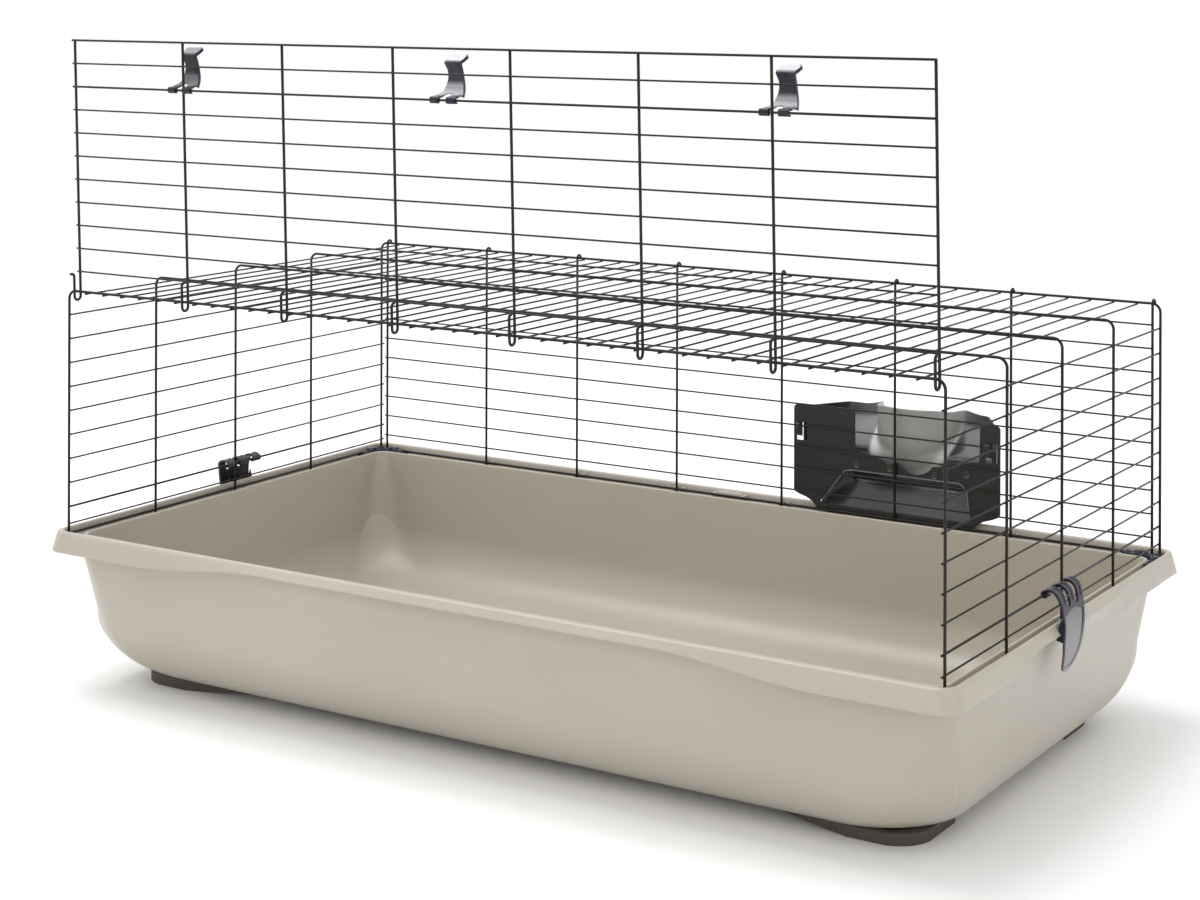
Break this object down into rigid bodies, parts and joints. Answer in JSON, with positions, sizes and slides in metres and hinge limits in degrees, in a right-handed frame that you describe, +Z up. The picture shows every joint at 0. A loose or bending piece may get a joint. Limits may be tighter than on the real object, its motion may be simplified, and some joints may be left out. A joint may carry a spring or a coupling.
{
  "type": "rabbit hutch",
  "caption": "Indoor rabbit hutch: deep moulded tray with rounded corners, folded wire cage with an opening front panel, swing-over clips and a hanging feeder.",
  "frame": {"origin": "middle of the whole at floor level, under the tray's feet", "axes": "+X along the hutch to the right as seen from the front, +Y to the rear with the feeder, +Z up; the opening panel faces -Y"},
  "size_m": [1.1904, 0.699, 0.7773],
  "materials": {
    "tray_plastic": "satin moulded warm grey polypropylene",
    "coated_wire": "glossy black coating over welded wire",
    "clip_plastic": "satin slate-indigo plastic",
    "connector_plastic": "dark blue-black plastic",
    "feeder_plastic": "satin black plastic",
    "smoked_plastic": "clear smoked plastic"
  },
  "bodies": {
    "root": {"tray": "tray_plastic", "left_end_grille": "coated_wire", "right_end_grille": "coated_wire", "roof_grille": "coated_wire", "rear_grille": "coated_wire", "left_corner_connector": "connector_plastic", "right_corner_connector": "connector_plastic"},
    "door": {"front_panel": "coated_wire"},
    "front_clip_1": {"front_clip_1": "clip_plastic"},
    "front_clip_2": {"front_clip_2": "clip_plastic"},
    "front_clip_3": {"front_clip_3": "clip_plastic"},
    "left_end_clip": {"left_end_clip": "clip_plastic"},
    "right_end_clip": {"right_end_clip": "clip_plastic"},
    "feeder": {"feeder_plate": "feeder_plastic", "feeder_hopper": "smoked_plastic", "feeder_trough": "smoked_plastic", "feeder_stud_1": "feeder_plastic", "feeder_stud_2": "feeder_plastic", "feeder_stud_3": "feeder_plastic", "feeder_stud_4": "feeder_plastic"}
  },
  "joints": [
    {"name": "front_panel_hinge", "type": "hinge", "parent": "root", "child": "door", "pos_m": [0, -0.3275, 0.4745], "axis": [1, 0, 0], "range_deg": [-70, 172]},
    {"name": "front_clip_1_hinge", "type": "hinge", "parent": "door", "child": "front_clip_1", "pos_m": [-0.383, -0.33379, 0.72047], "axis": [1, 0, 0], "range_deg": [-66, 12]},
    {"name": "front_clip_2_hinge", "type": "hinge", "parent": "door", "child": "front_clip_2", "pos_m": [-0.006, -0.33379, 0.72047], "axis": [1, 0, 0], "range_deg": [-66, 12]},
    {"name": "front_clip_3_hinge", "type": "hinge", "parent": "door", "child": "front_clip_3", "pos_m": [0.395, -0.33379, 0.72047], "axis": [1, 0, 0], "range_deg": [-66, 12]},
    {"name": "left_end_clip_hinge", "type": "hinge", "parent": "root", "child": "left_end_clip", "pos_m": [-0.5678, -0.0155, 0.21503], "axis": [0, 1, 0], "range_deg": [0, 95]},
    {"name": "right_end_clip_hinge", "type": "hinge", "parent": "root", "child": "right_end_clip", "pos_m": [0.5678, -0.0395, 0.21503], "axis": [0, -1, 0], "range_deg": [0, 95]},
    {"name": "feeder_lift", "type": "slide", "parent": "root", "child": "feeder", "axis": [0, 0, 1], "range_m": [0, 0.012]}
  ]
}
